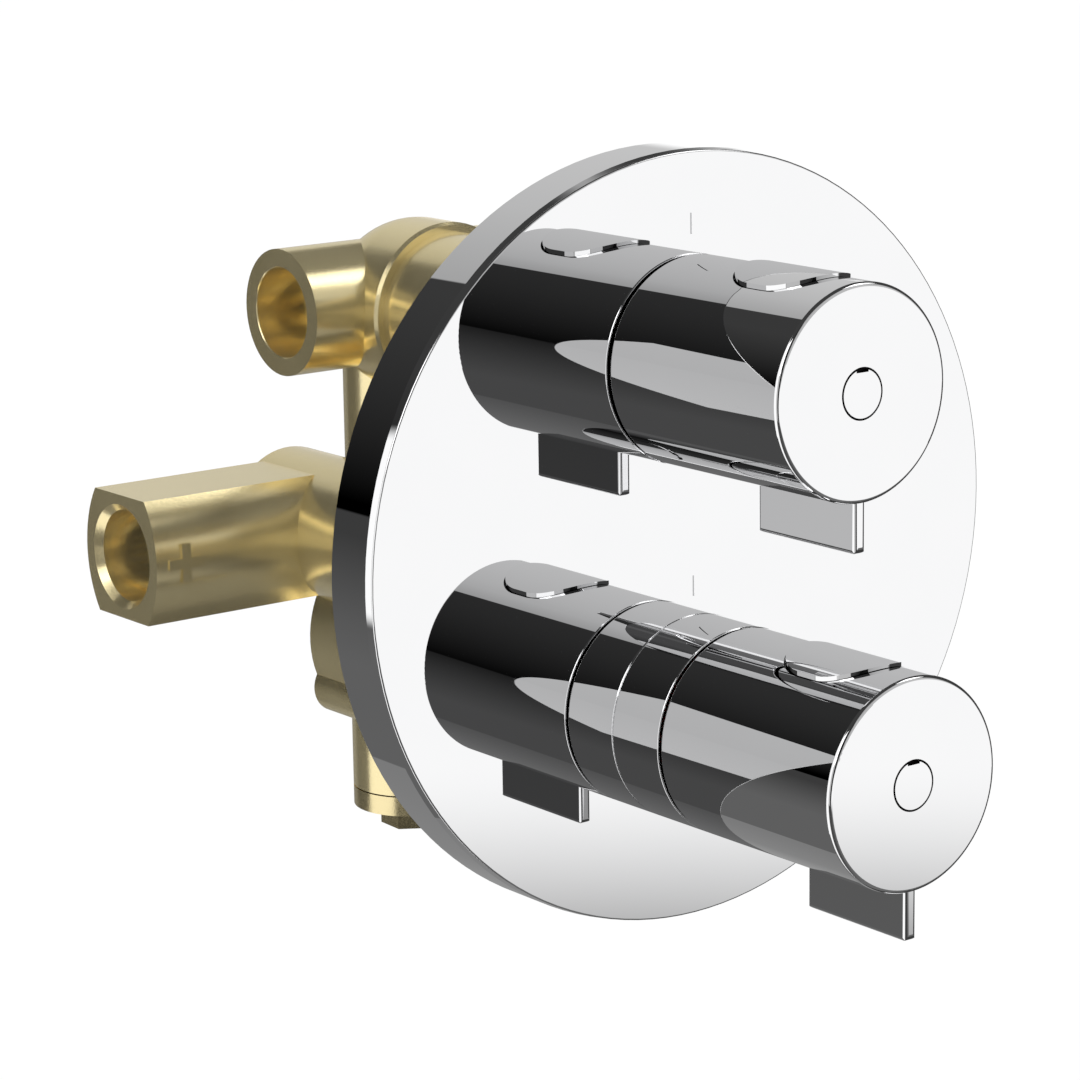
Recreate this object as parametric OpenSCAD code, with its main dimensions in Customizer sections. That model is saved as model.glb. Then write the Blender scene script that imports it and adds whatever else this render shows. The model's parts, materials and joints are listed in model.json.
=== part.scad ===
// Concealed two-handle thermostatic shower valve: a brass body for the wall, a chromed round
// cover plate, a flow handle above and a temperature handle below.
// +Z is up, +Y points into the wall, and Y = 0 is the face of the finished wall.

/* [Layout] */
// Distance between the two handle axes
axis_spacing = 70; // [66:1:90]
// Depth of the pipe plane behind the finished wall
pipe_depth = 83; // [82:1:95]

/* [Cover plate] */
// Outer diameter of the cover plate
plate_d = 150; // [140:1:200]
// Depth of the cover plate, from the wall to its front face
plate_depth = 12.6; // [11:0.1:20]
// Thickness of the plate's front
plate_face_t = 2.2; // [1.5:0.1:4]
// Thickness of the plate's rim
plate_rim_t = 2; // [1.5:0.1:4]
// Radius of the plate's rounded front edge
plate_edge_r = 0.35; // [0.2:0.05:0.6]
// Depth of the bevel round the plate's front edge
plate_bevel_l = 1.5; // [0.5:0.1:2]
// Width of the bevel round the plate's front edge
plate_bevel_w = 0.25; // [0.1:0.05:0.6]
// Wall of the plate's two seal bosses
plate_boss_t = 3.8; // [3:0.1:5]
// Depth of the plate's two seal bosses behind its front
plate_boss_l = 7.5; // [6.5:0.1:8.5]
// Gap between the plate's holes and the sleeves
plate_hole_gap = 0.3; // [0.2:0.05:0.6]
// Length of an index mark
mark_l = 4; // [2:0.5:6]
// Width of an index mark
mark_w = 0.4; // [0.2:0.1:1]
// Depth of an index mark
mark_depth = 0.3; // [0.1:0.1:0.8]
// Gap between a handle's side and the mark above it
mark_gap = 3.8; // [1:0.1:6]
// Depth of the wall seal ring
seal_depth = 2.5; // [1:0.1:5]
// Radial width of the wall seal ring
seal_w = 4; // [2:0.5:8]

/* [Handles] */
// Diameter of a handle, and of the collar
knob_d = 40.5; // [40:0.5:46]
// Length of a handle
knob_l = 47.5; // [46:0.5:56]
// Wall of a handle
knob_wall = 2.5; // [2.2:0.1:3]
// Thickness of a handle's front
knob_face_t = 3; // [2.5:0.1:4]
// Radius of the edge round a handle's front face
knob_edge_r = 0.8; // [0.3:0.1:1.2]
// Radius of the other edges of the handles and the collar
knob_back_r = 0.3; // [0.1:0.05:0.5]
// Gap behind the flow handle
knob_gap = 0.6; // [0.4:0.1:1]
// Gap between the collar and the temperature handle
collar_gap = 0.9; // [0.4:0.1:1.5]
// Length of the collar behind the temperature handle
collar_l = 13.8; // [8:0.1:30]
// Diameter of the screw cover
cap_d = 9; // [8.6:0.1:12]
// Length of the screw cover
cap_l = 2.5; // [2:0.1:2.8]
// How far the screw cover stands proud
cap_rise = 0.05; // [0:0.05:1]
// Width of the groove round the screw cover
cap_groove_w = 0.4; // [0.15:0.05:0.5]
// Width of the pry notch in the screw cover
cap_notch_w = 2.9; // [2:0.1:5]
// Height of the pry notch in the screw cover
cap_notch_h = 0.6; // [0.3:0.1:1]
// Turn of the flow handle each way
flow_turn = 90; // [60:5:120]

/* [Blades] */
// Length of a blade along its handle
fin_l = 27.1; // [20:0.1:30]
// Distance from the handle's front face to its blade
fin_setback = 0.4; // [0.2:0.1:3]
// Reach of a blade from the handle's axis
fin_reach = 29.7; // [26:0.1:33]
// Thickness of a blade
fin_t = 2.6; // [2.5:0.1:5]
// Corner radius of a blade
fin_corner_r = 1.3; // [1:0.1:2]
// Edge radius of a blade
fin_edge_r = 0.8; // [0.3:0.1:1]
// Depth of the blade's slot in the handle's wall
fin_socket = 1.2; // [0.8:0.1:1.5]
// Distance between the two screws that hold a blade
fin_screw_pitch = 14; // [10:0.5:16]

/* [Stop buttons] */
// Length of a button
button_l = 22.5; // [22:0.5:28]
// Width of a button
button_w = 18.6; // [14:0.1:19]
// How far a button stands proud of its handle
button_rise = 0.7; // [0.4:0.1:1.4]
// Gap round a button
button_gap = 0.35; // [0.3:0.05:0.5]
// Distance from the handle's front face to its button
button_setback = 7.8; // [6.5:0.1:9]
// Width of the lip that keeps a button in its handle
button_lip = 1.2; // [0.8:0.1:1.4]
// Thickness of the lip that keeps a button in its handle
button_lip_t = 1; // [0.8:0.1:1.2]
// Travel of a button
button_travel = 2; // [1:0.1:2.2]

/* [Sleeves and spindles] */
// Outer diameter of the two sleeves
sleeve_d = 35; // [34.8:0.1:35.2]
// Wall of a sleeve
sleeve_wall = 1; // [0.9:0.05:1.1]
// Overlap of a sleeve and the neck of the body
sleeve_overlap = 14; // [8:1:16]
// Diameter of the spindle extensions
rod_d = 11; // [10:0.5:12]
// Diameter of the splined ends
spline_d = 8; // [7:0.5:9]
// Diameter of the cartridge stems
stem_d = 9; // [8.6:0.2:9.4]

/* [Valve body] */
// Outer diameter of the necks that carry the sleeves
neck_d = 32.9; // [32.7:0.1:32.95]
// Depth of the front of the necks behind the finished wall
neck_y = 34; // [30:1:36]
// Diameter of the flow chamber
flow_chamber_d = 36.8; // [34:0.2:38]
// Depth of the front of the flow chamber
flow_chamber_y = 66; // [64:0.5:68]
// Diameter of the thermostat chamber
thermo_chamber_d = 44; // [43:0.5:46]
// Depth of the front of the thermostat chamber
thermo_chamber_y = 46; // [44:0.5:47]
// Depth of the back of the thermostat chamber
thermo_chamber_back = 88; // [87:0.5:92]
// Diameter of the two inlet chambers
side_chamber_d = 29.2; // [28.5:0.1:30]
// Distance of the inlet chambers from the middle
side_chamber_x = 22; // [21.5:0.1:23]
// Depth of the front of the inlet chambers
side_chamber_y = 42; // [41:0.5:44]
// Depth of the back of the inlet chambers
side_chamber_back = 94; // [93:0.5:97]
// Diameter of the upright pipe
pipe_d = 25.3; // [24.5:0.1:27]
// Drop of the lower plug's flange below the middle
pipe_drop = 73.4; // [68:0.1:80]
// Distance of an outlet's end from the middle
outlet_x = 30; // [28:0.5:40]
// Outer diameter of an outlet
outlet_d = 26.2; // [25.5:0.1:28]
// Height of the outlets above the flow axis
outlet_rise = 1; // [0:0.1:1.5]
// Distance of an inlet's end from the middle
inlet_x = 70; // [66:1:80]
// Drop of the inlets below the middle
inlet_drop = 9.2; // [8:0.1:10]
// Size of an inlet across its two flats
inlet_flats = 25.4; // [25:0.1:27]
// Width of an inlet's flats
inlet_flat_w = 18.8; // [16:0.1:20]
// Size of an inlet across its rounded sides
inlet_bulge = 26.9; // [26.5:0.1:28]
// Size of the hot and cold signs
sign_size = 8; // [5:0.5:10]
// Width of the strokes of the signs
sign_stroke = 2; // [1:0.1:3]
// Height of the signs above the casting
sign_rise = 0.4; // [0.2:0.1:0.8]
// Distance of the signs from an inlet's end
sign_inset = 6.8; // [5.5:0.1:12]
// Distance between the two fixing holes
fixing_pitch = 31; // [30:0.5:32]
// Drop of the fixing holes below the temperature axis
fixing_drop = 10.9; // [10:0.1:13]
// Core diameter of the fixing holes' threads
fixing_hole_d = 4.2; // [3.3:0.1:5]
// Depth of the fixing holes, from the back
fixing_hole_l = 20; // [12:1:21]
// Diameter of the fixing bosses
fixing_boss_d = 11.6; // [11:0.1:13]
// Depth of the front of the fixing bosses
fixing_boss_y = 60; // [50:1:66]

/* [Waterways] */
// Core diameter of the half-inch pipe threads
thread_d = 18.63; // [18:0.01:19.2]
// Length of the pipe threads
thread_l = 14; // [10:0.5:15]
// Diameter of the chamfer at an inlet's mouth
inlet_mouth_d = 21.4; // [21:0.1:23]
// Diameter of the chamfer at an outlet's mouth
outlet_mouth_d = 19; // [18.8:0.1:21]
// Diameter of the inlet waterways
inlet_way_d = 13.6; // [10:0.1:13.7]
// Diameter of the outlet waterways
outlet_way_d = 12; // [9:0.5:12]
// Diameter of the upright waterway
pipe_way_d = 14.6; // [13:0.1:15]
// Diameter of the three ports at the flow cartridge
port_d = 6; // [5:0.1:6.4]
// Diameter of the mixed water's way out of the thermostat
mixed_way_d = 12; // [10:0.5:13]
// Diameter of the passages to the thermostat
passage_d = 6; // [4:0.5:6.5]
// Distance of those passages from the middle
passage_x = 13; // [12.5:0.1:13.5]

/* [Cartridges] */
// Diameter of the flow chamber's bore
flow_bore_d = 25.4; // [25:0.1:26]
// Depth of the floor of the flow chamber's bore
flow_floor_y = 70; // [69:0.5:72]
// Diameter of the thermostat chamber's bore
thermo_bore_d = 27; // [26.6:0.1:27.4]
// Depth of the floor of the thermostat chamber's bore
thermo_floor_y = 74; // [73:0.5:74.5]
// Diameter of the two gland nuts' threads
gland_d = 29.2; // [28.8:0.1:29.6]
// Length of the gland nuts' threads
gland_l = 8; // [6:0.5:8.5]
// Size of the gland nuts across their flats
gland_flats = 25; // [22:0.5:26]
// Length of the gland nuts' hexagons
gland_head_l = 5; // [3:0.5:6]
// Diameter of the cartridge noses inside the gland nuts
nose_d = 18; // [16:0.5:19]
// Thickness of the ceramic discs
disc_t = 3; // [2:0.1:3.5]
// Diameter of the fixed ceramic disc
disc_d = 22.4; // [21:0.1:22.6]
// Thickness of the seals at the chamber floors
floor_seal_t = 1.2; // [0.8:0.1:1.5]
// Depth of the hot ring channel
hot_ring_y = 62; // [61:0.5:63]
// Depth of the cold ring channel
cold_ring_y = 52; // [51:0.5:53]
// Diameter of the ring channels
ring_channel_d = 31; // [29:0.5:31.5]
// Width of the ring channels
ring_channel_w = 7; // [6.5:0.1:7.5]
// Outer diameter of the mixing spool
spool_d = 20.9; // [20.5:0.1:21.1]
// Wall of the mixing spool
spool_wall = 1.6; // [1.2:0.1:2]
// Length of the mixing spool
spool_l = 7; // [6:0.1:7.5]
// Diameter of the wax element's stem
wax_d = 8; // [6:0.5:9]
// Length of the wax element
wax_l = 19; // [16:0.5:19.5]
// Travel of the spool towards cold
spool_cold = 1.1; // [0.5:0.1:1.4]
// Travel of the spool towards hot
spool_hot = 0.4; // [0.2:0.1:0.6]

/* [Check valves and plugs] */
// Diameter of the inlet chambers' bores
side_bore_d = 21; // [20:0.1:21.6]
// Depth of the floor of the inlet chambers' bores
side_floor_y = 90; // [89.5:0.1:91]
// Depth of the front of the check valves
check_y = 66.5; // [66:0.5:68]
// Length of the check valves
check_l = 9.5; // [9:0.1:9.9]
// Opening travel of a check valve's disc
check_travel = 2; // [1:0.1:2.4]
// Diameter of the service plugs' heads
plug_head_d = 25; // [23:0.5:27]
// Length of the service plugs' heads
plug_head_l = 3; // [2.5:0.5:5]
// Length of the service plugs' threads
plug_thread_l = 7; // [5:0.5:8]
// Size of the hexagon socket in the service plugs
plug_socket = 8; // [6:0.5:10]
// Size of the lower plug's hexagon
lower_plug_flats = 12; // [10:0.5:17]
// Height of the lower plug's hexagon
lower_plug_head = 4.7; // [4:0.1:8]
// Length of the lower plug's thread
lower_plug_l = 9; // [6:0.5:14]

/* [Hidden] */
$fn = 96;
// overrun of every cut past the face it leaves
cut = 1;
// gap of a seated piece, and radial gap of a shaft that turns in its bore
seat_gap = 0.05;
run_gap = 0.06;
// clear distance between pieces that move past each other
clear_gap = 0.4;

flow_z = axis_spacing / 2;
thermo_z = -axis_spacing / 2;
knob_r = knob_d / 2;
knob_bore_r = knob_r - knob_wall;
plate_y = -plate_depth;
// front face and back edge of each handle
flow_face_y = plate_y - knob_gap - knob_l;
thermo_face_y = plate_y - collar_l - collar_gap - knob_l;
collar_y = plate_y - collar_l;

sleeve_r = sleeve_d / 2;
sleeve_bore_r = sleeve_r - sleeve_wall;
neck_r = neck_d / 2;
plate_hole_r = sleeve_r + plate_hole_gap;
boss_r = plate_hole_r + plate_boss_t;
// round seal between the plate and a sleeve
oring_t = 1.95;
oring_r = sleeve_r + oring_t / 2;
oring_y = plate_y + plate_face_t + plate_boss_l / 2;

// handle internals, measured back from a handle's front face
insert_y = knob_face_t;
cap_groove_l = 0.9;
insert_flange_t = 2.5;
insert_boss_l = 12;
insert_boss_r = 9;
insert_hub_r = 7;
insert_hub_l = 30;
insert_gap = 0.15;
screw_d = 4;
screw_head_d = 7.2;
screw_head_l = 3.2;
screw_l = 12;
screw_key = 3;
spline_depth = 20;
button_mid = button_setback + button_l / 2;
button_spring_y = insert_y + insert_flange_t + 5.6;
button_spring_d = 4.6;
button_spring_wire = 0.5;
button_spring_turns = 5;
button_spring_seat = 0.9;
button_stem_y = button_mid - 3.2;
button_stem_w = 3;
button_stem_t = 1.6;
button_tab_l = 2;
button_tab_h = 1.2;
// fixed stop ring, in the band of the button's tab
stop_ring_y = button_mid + 4.6;
stop_tube_r = 9.9;
stop_tube_t = 1.4;
stop_flange_t = 3;
stop_collar_r = 13.2;
stop_collar_t = 2;
stop_finger_w = 3;
flow_finger_angles = [-45, 45];
temperature_finger_angles = [-14];

fin_root_z = knob_r - fin_socket;
fin_screw_d = 1.6;
fin_screw_head_d = 3.2;
fin_screw_head_l = 0.9;
fin_screw_grip = 3;
// where the rim of a screw's head meets the curved inside of the handle
fin_screw_seat_r = sqrt(pow(knob_bore_r, 2) - pow(fin_screw_head_d / 2, 2));

// spindle extensions and cartridge stems
stem_y = 14;
stem_tip_depth = 12;
nose_y = neck_y - 6;

// body
gland_r = gland_d / 2;
gland_y = neck_y + gland_l;
flow_bore_r = flow_bore_d / 2;
thermo_bore_r = thermo_bore_d / 2;
outlet_z = flow_z + outlet_rise;
inlet_z = -inlet_drop;
side_bore_r = side_bore_d / 2;
outlet_r = outlet_d / 2;
pipe_r = pipe_d / 2;
outlet_wall = 5;
// outlet ports beside the supply port, and the riser that feeds it
port_x = 7.4;
riser_d = 5.6;
riser_h = 8;
edge_chamfer = 0.6;
// circle of an inlet's rounded side: its chord is the flats' distance, its rise the bulge past it
bulge_rise = (inlet_bulge - inlet_flat_w) / 2;
bulge_r = (pow(inlet_flats / 2, 2) + pow(bulge_rise, 2)) / (2 * bulge_rise);
side_mouth_r = side_bore_r + 0.5;
side_mouth_l = plug_thread_l + 1;
side_step = 0.9;
// lower plug: its flange continues the pipe below a thin seal
plug_flange_t = 4.1;
plug_groove = 0.3;
plug_seal_inset = 1.4;
pipe_end_z = -pipe_drop + plug_flange_t + plug_groove;
lower_plug_turn = 27.5;

// flow cartridge, from the chamber's floor forward
flow_seal_y = flow_floor_y - floor_seal_t;
fixed_disc_y = flow_seal_y - disc_t;
moving_disc_y = fixed_disc_y - disc_t;
driver_t = 3.5;
driver_y = moving_disc_y - driver_t;
driver_r = 10.6;
disc_port_r = 2.6;
disc_pocket_depth = 1.4;

// thermostat, from the chamber's floor forward
thermo_seal_y = thermo_floor_y - floor_seal_t;
thermo_inner_r = spool_d / 2 + run_gap;
spool_y = (hot_ring_y + cold_ring_y) / 2 - spool_l / 2;
thermo_step_y = spool_y - 4;
wax_y = thermo_step_y - 0.6;
wax_flange_t = 1.6;
screw_flange_r = 6.5;
screw_flange_t = 2;
spring_seat_t = 1.2;
thermo_spring_wire = 1;
thermo_outlet_r = 7;
overload_turns = 2;
return_turns = 3;
spool_holes = 7;
spool_hole_r = 1;
seal_ring_t = 1.8;
seal_groove_depth = 1.3;
seal_ring_ys = [gland_y + 2.2, (hot_ring_y + cold_ring_y) / 2, hot_ring_y + 7];
port_ring_count = 8;
port_ring_d = 4;

// check valves and strainers
check_wall = 1.9;
check_hub_r = 2.4;
check_hub_l = 1.6;
check_arm_w = 1.6;
check_arms = 3;
check_stem_r = 1.1;
check_disc_r = 6.6;
check_disc_t = 1.6;
check_seat_r = 5.2;
check_seat_t = 1.6;
check_spring_r = 2.3;
check_spring_wire = 0.5;
check_spring_turns = 4;
strainer_l = 12;
strainer_wall = 0.8;
strainer_slots = 10;
strainer_slot_w = 1.6;
strainer_lip = 1.2;
strainer_lip_r = 8.4;
plug_seal_t = 1.4;
plug_thread_gap = 0.1;
coil_sides = 6;
coil_steps = 14;

// a bar along Y from depth y0 to y1
module along_y(y0, y1, r, x = 0, z = 0) {
    translate([x, y0, z])
        rotate([-90, 0, 0])
            cylinder(r = r, h = y1 - y0);
}

// a cone along Y, of radius r0 at y0 and r1 at y1
module cone_y(y0, y1, r0, r1, x = 0, z = 0) {
    translate([x, y0, z])
        rotate([-90, 0, 0])
            cylinder(r1 = r0, r2 = r1, h = y1 - y0);
}

// a bar along X from x0 to x1
module along_x(x0, x1, r, y, z) {
    translate([x0, y, z])
        rotate([0, 90, 0])
            cylinder(r = r, h = x1 - x0);
}

// a tube along Y
module ring_y(y0, y1, ro, ri, x = 0, z = 0) {
    difference() {
        along_y(y0, y1, ro, x, z);
        along_y(y0 - cut, y1 + cut, ri, x, z);
    }
}

// a bar along Y with a round edge at each end
module round_bar_y(y0, y1, r, front, back, z) {
    half = (y1 - y0) / 2;
    translate([0, y0, z])
        rotate([-90, 0, 0])
            rotate_extrude() {
                translate([0, front])
                    square([r, 2 * half - front - back]);
                square([r - front, half]);
                translate([0, half])
                    square([r - back, half]);
                translate([r - front, front])
                    circle(r = front, $fn = 48);
                translate([r - back, 2 * half - back])
                    circle(r = back, $fn = 48);
            }
}

// a hexagonal bar along Y
module hex_y(y0, y1, flats, z = 0, x = 0) {
    translate([x, y0, z])
        rotate([-90, 0, 0])
            cylinder(d = flats / cos(30), h = y1 - y0, $fn = 6);
}

// a round ring along Y, of cord diameter t
module torus_y(y, r, t, x = 0, z = 0) {
    translate([x, y, z])
        rotate([-90, 0, 0])
            rotate_extrude()
                translate([r, 0])
                    circle(d = t, $fn = 32);
}

// a rectangle with round corners, centred
module round_rect(w, h, r) {
    square([w - 2 * r, h], center = true);
    square([w, h - 2 * r], center = true);
    for (sx = [-1, 1], sy = [-1, 1])
        translate([sx * (w / 2 - r), sy * (h / 2 - r)])
            circle(r = r, $fn = 48);
}

// a slot shape along Y, centred
module obround(w, l) {
    square([w, l - w], center = true);
    for (s = [-1, 1])
        translate([0, s * (l - w) / 2])
            circle(d = w);
}

// a coil spring along +Z
module coil(r, wire, turns, h) {
    n = round(turns * coil_steps);
    function ring(i) = let (a = 360 * turns * i / n)
        [for (k = [0 : coil_sides - 1]) let (b = 360 * k / coil_sides, q = r + wire / 2 * cos(b))
            [q * cos(a), q * sin(a), wire / 2 + (h - wire) * i / n + wire / 2 * sin(b)]];
    points = [for (i = [0 : n]) each ring(i)];
    walls = [for (i = [0 : n - 1], k = [0 : coil_sides - 1]) let (
            p = i * coil_sides + k,
            q = i * coil_sides + (k + 1) % coil_sides)
        each [[p, q, q + coil_sides], [p, q + coil_sides, p + coil_sides]]];
    caps = [for (k = [1 : coil_sides - 2]) each [
        [0, k + 1, k],
        [n * coil_sides, n * coil_sides + k, n * coil_sides + k + 1]]];
    polyhedron(points, concat(walls, caps));
}

// the same along +Y, starting at depth y
module coil_y(y, r, wire, turns, h, x = 0, z = 0) {
    translate([x, y, z])
        rotate([-90, 0, 0])
            coil(r, wire, turns, h);
}

// Cast brass body.

module inlet_section() {
    intersection() {
        square([inlet_bulge, inlet_flats], center = true);
        translate([bulge_r - inlet_bulge / 2, 0])
            circle(r = bulge_r);
        translate([inlet_bulge / 2 - bulge_r, 0])
            circle(r = bulge_r);
    }
}

// an inlet's bar, from the end at x0 to x1, with its section across Y and Z
module inlet_bar(x0, x1) {
    translate([x0, pipe_depth, inlet_z])
        rotate([90, 0, 90])
            linear_extrude(height = x1 - x0)
                inlet_section();
}

module sign_bar(w, h, side) {
    translate([side * (inlet_x - sign_inset) - w / 2, pipe_depth - inlet_bulge / 2 - sign_rise,
        inlet_z - h / 2])
        cube([w, bulge_rise + sign_rise, h]);
}

module body_solid() {
    // flow chamber with its ring step, domed back and neck
    cone_y(flow_chamber_y, flow_chamber_y + edge_chamfer, flow_chamber_d / 2 - edge_chamfer,
        flow_chamber_d / 2, 0, flow_z);
    along_y(flow_chamber_y + edge_chamfer, pipe_depth - pipe_r / 2, flow_chamber_d / 2, 0, flow_z);
    translate([0, pipe_depth - pipe_r / 2, flow_z])
        sphere(d = flow_chamber_d);
    along_y(neck_y, flow_chamber_y + cut, neck_r, 0, flow_z);
    // thermostat chamber and neck
    along_y(thermo_chamber_y, thermo_chamber_back, thermo_chamber_d / 2, 0, thermo_z);
    along_y(neck_y, thermo_chamber_y + cut, neck_r, 0, thermo_z);
    // upright pipe
    translate([0, pipe_depth, pipe_end_z])
        cylinder(d = pipe_d, h = flow_z - outlet_rise - pipe_end_z);
    // outlets
    along_x(-outlet_x, outlet_x, outlet_r, pipe_depth, outlet_z);
    // inlets and their chambers
    for (s = [-1, 1])
        along_y(side_chamber_y, side_chamber_back, side_chamber_d / 2, s * side_chamber_x, inlet_z);
    inlet_bar(-inlet_x, -side_chamber_x);
    inlet_bar(side_chamber_x, inlet_x);
    // plus sign on the hot side, minus sign on the cold side
    sign_bar(sign_size, sign_stroke, -1);
    sign_bar(sign_stroke, sign_size, -1);
    sign_bar(sign_size, sign_stroke, 1);
    // fixing bosses
    for (s = [-1, 1])
        along_y(fixing_boss_y, thermo_chamber_back, fixing_boss_d / 2, s * fixing_pitch / 2,
            thermo_z - fixing_drop);
}

module threaded_mouth(x_end, side, z, mouth_d) {
    mouth_t = (mouth_d - thread_d) / 2;
    along_x(side > 0 ? x_end - thread_l : -x_end - cut, side > 0 ? x_end + cut : -x_end + thread_l,
        thread_d / 2, pipe_depth, z);
    translate([side * x_end, pipe_depth, z])
        rotate([0, -side * 90, 0])
            cylinder(d1 = mouth_d, d2 = thread_d, h = mouth_t);
}

module body_ways() {
    // flow chamber, its outlet ports and its supply
    along_y(neck_y - cut, flow_floor_y, flow_bore_r, 0, flow_z);
    along_y(neck_y - cut, gland_y, gland_r, 0, flow_z);
    for (s = [-1, 1])
        along_y(flow_floor_y - cut, pipe_depth, port_d / 2, s * port_x, outlet_z);
    along_y(flow_floor_y - cut, pipe_depth, port_d / 2, 0, flow_z);
    translate([0, pipe_depth, flow_z - riser_h - cut])
        cylinder(d = riser_d, h = riser_h + cut + outlet_rise);
    // thermostat chamber, its two ring channels and its way out
    along_y(neck_y - cut, thermo_floor_y, thermo_bore_r, 0, thermo_z);
    along_y(neck_y - cut, gland_y, gland_r, 0, thermo_z);
    for (y = [hot_ring_y, cold_ring_y])
        along_y(y - ring_channel_w / 2, y + ring_channel_w / 2, ring_channel_d / 2, 0, thermo_z);
    along_y(thermo_floor_y - cut, pipe_depth, mixed_way_d / 2, 0, thermo_z);
    // upright waterway, open at its lower end
    translate([0, pipe_depth, pipe_end_z - cut])
        cylinder(d = pipe_way_d, h = flow_z - riser_h - pipe_end_z + cut);
    // outlets
    for (s = [-1, 1])
        threaded_mouth(outlet_x, s, outlet_z, outlet_mouth_d);
    along_x(-outlet_x, -outlet_wall, outlet_way_d / 2, pipe_depth, outlet_z);
    along_x(outlet_wall, outlet_x, outlet_way_d / 2, pipe_depth, outlet_z);
    // inlets, their chambers and the passages to the thermostat
    for (s = [-1, 1]) {
        threaded_mouth(inlet_x, s, inlet_z, inlet_mouth_d);
        along_y(side_chamber_y - cut, check_y + check_l, side_bore_r, s * side_chamber_x, inlet_z);
        along_y(side_chamber_y - cut, side_floor_y, side_bore_r - side_step, s * side_chamber_x, inlet_z);
        along_y(side_chamber_y - cut, side_chamber_y + side_mouth_l, side_mouth_r,
            s * side_chamber_x, inlet_z);
    }
    along_x(-inlet_x, -side_chamber_x, inlet_way_d / 2, pipe_depth, inlet_z);
    along_x(side_chamber_x, inlet_x, inlet_way_d / 2, pipe_depth, inlet_z);
    along_x(-inlet_x, -inlet_x + thread_l + strainer_lip, strainer_lip_r, pipe_depth, inlet_z);
    along_x(inlet_x - thread_l - strainer_lip, inlet_x, strainer_lip_r, pipe_depth, inlet_z);
    translate([-passage_x, hot_ring_y, thermo_z + passage_d])
        cylinder(d = passage_d, h = inlet_z - thermo_z - passage_d);
    translate([passage_x, cold_ring_y, thermo_z + passage_d])
        cylinder(d = passage_d, h = inlet_z - thermo_z - passage_d);
    // fixing holes, open at the back
    for (s = [-1, 1])
        along_y(thermo_chamber_back - fixing_hole_l, thermo_chamber_back + cut, fixing_hole_d / 2,
            s * fixing_pitch / 2, thermo_z - fixing_drop);
}

module valve_body() {
    color("goldenrod")
        difference() {
            body_solid();
            body_ways();
        }
}

// Cover plate and the pieces that seal and carry it.

module cover_plate() {
    r = plate_d / 2;
    edge_x = r - plate_bevel_w - plate_edge_r;
    inner_y = plate_y + plate_face_t;
    color("gainsboro")
        difference() {
            translate([0, plate_y, 0])
                rotate([-90, 0, 0])
                    rotate_extrude() {
                        square([edge_x, plate_depth]);
                        translate([edge_x, plate_edge_r])
                            circle(r = plate_edge_r, $fn = 48);
                        polygon([[0, plate_edge_r], [edge_x + plate_edge_r, plate_edge_r],
                            [r, plate_edge_r + plate_bevel_l], [r, plate_depth], [0, plate_depth]]);
                    }
            difference() {
                along_y(inner_y, cut, r - plate_rim_t);
                for (z = [flow_z, thermo_z])
                    along_y(inner_y - cut, inner_y + plate_boss_l, boss_r, 0, z);
            }
            for (z = [flow_z, thermo_z]) {
                along_y(plate_y - cut, cut, plate_hole_r, 0, z);
                // groove of the round seal
                along_y(oring_y - oring_t / 2 - clear_gap / 2, oring_y + oring_t / 2 + clear_gap / 2,
                    sleeve_r + oring_t + 3 * seat_gap, 0, z);
                // index mark
                translate([-mark_w / 2, plate_y - cut, z + knob_r + mark_gap])
                    cube([mark_w, cut + mark_depth, mark_l]);
            }
        }
}

module wall_seal() {
    r = plate_d / 2 - plate_rim_t - seat_gap;
    color("dimgray")
        ring_y(-seal_depth, 0, r, r - seal_w);
}

module sleeve_seals() {
    color("black")
        for (z = [flow_z, thermo_z])
            torus_y(oring_y, oring_r + seat_gap, oring_t, 0, z);
}

module sleeve(front_y, z) {
    difference() {
        along_y(front_y, neck_y + sleeve_overlap, sleeve_r, 0, z);
        along_y(front_y - cut, neck_y + sleeve_overlap + cut, sleeve_bore_r, 0, z);
    }
}

module flow_sleeve() {
    color("silver")
        sleeve(plate_y, flow_z);
}

// the temperature sleeve stops short of the thermostat chamber
module temperature_sleeve() {
    color("silver")
        difference() {
            along_y(collar_y, thermo_chamber_y - seat_gap, sleeve_r, 0, thermo_z);
            along_y(collar_y - cut, thermo_chamber_y + cut, sleeve_bore_r, 0, thermo_z);
        }
}

module collar() {
    color("gainsboro")
        difference() {
            round_bar_y(collar_y, plate_y, knob_r, knob_back_r, knob_back_r, thermo_z);
            along_y(collar_y - cut, plate_y + cut, sleeve_r + seat_gap, 0, thermo_z);
        }
}

// Handles. Each module draws a piece for the handle with its front face at depth y and axis at height z.

module blade_shape(y, z) {
    mid_y = y + fin_setback + fin_l / 2;
    h = fin_reach - fin_root_z;
    intersection() {
        translate([-fin_t / 2, mid_y, z - fin_reach + h / 2])
            rotate([90, 0, 90])
                linear_extrude(height = fin_t)
                    union() {
                        round_rect(fin_l, h, fin_corner_r);
                        translate([-fin_l / 2, 0])
                            square([fin_l, h / 2]);
                    }
        translate([0, mid_y, z - fin_reach])
            linear_extrude(height = h)
                round_rect(fin_t, fin_l, fin_edge_r);
        translate([0, mid_y + fin_l / 2, z - fin_reach + h])
            rotate([90, 0, 0])
                linear_extrude(height = fin_l)
                    round_rect(fin_t, 2 * h, fin_edge_r);
    }
}

function blade_screw_ys(y) = [for (s = [-1, 1]) y + fin_setback + fin_l / 2 + s * fin_screw_pitch / 2];

module blade(y, z) {
    difference() {
        blade_shape(y, z);
        for (sy = blade_screw_ys(y))
            translate([0, sy, z - fin_root_z - fin_screw_grip])
                cylinder(d = fin_screw_d, h = fin_screw_grip + cut);
    }
}

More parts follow.
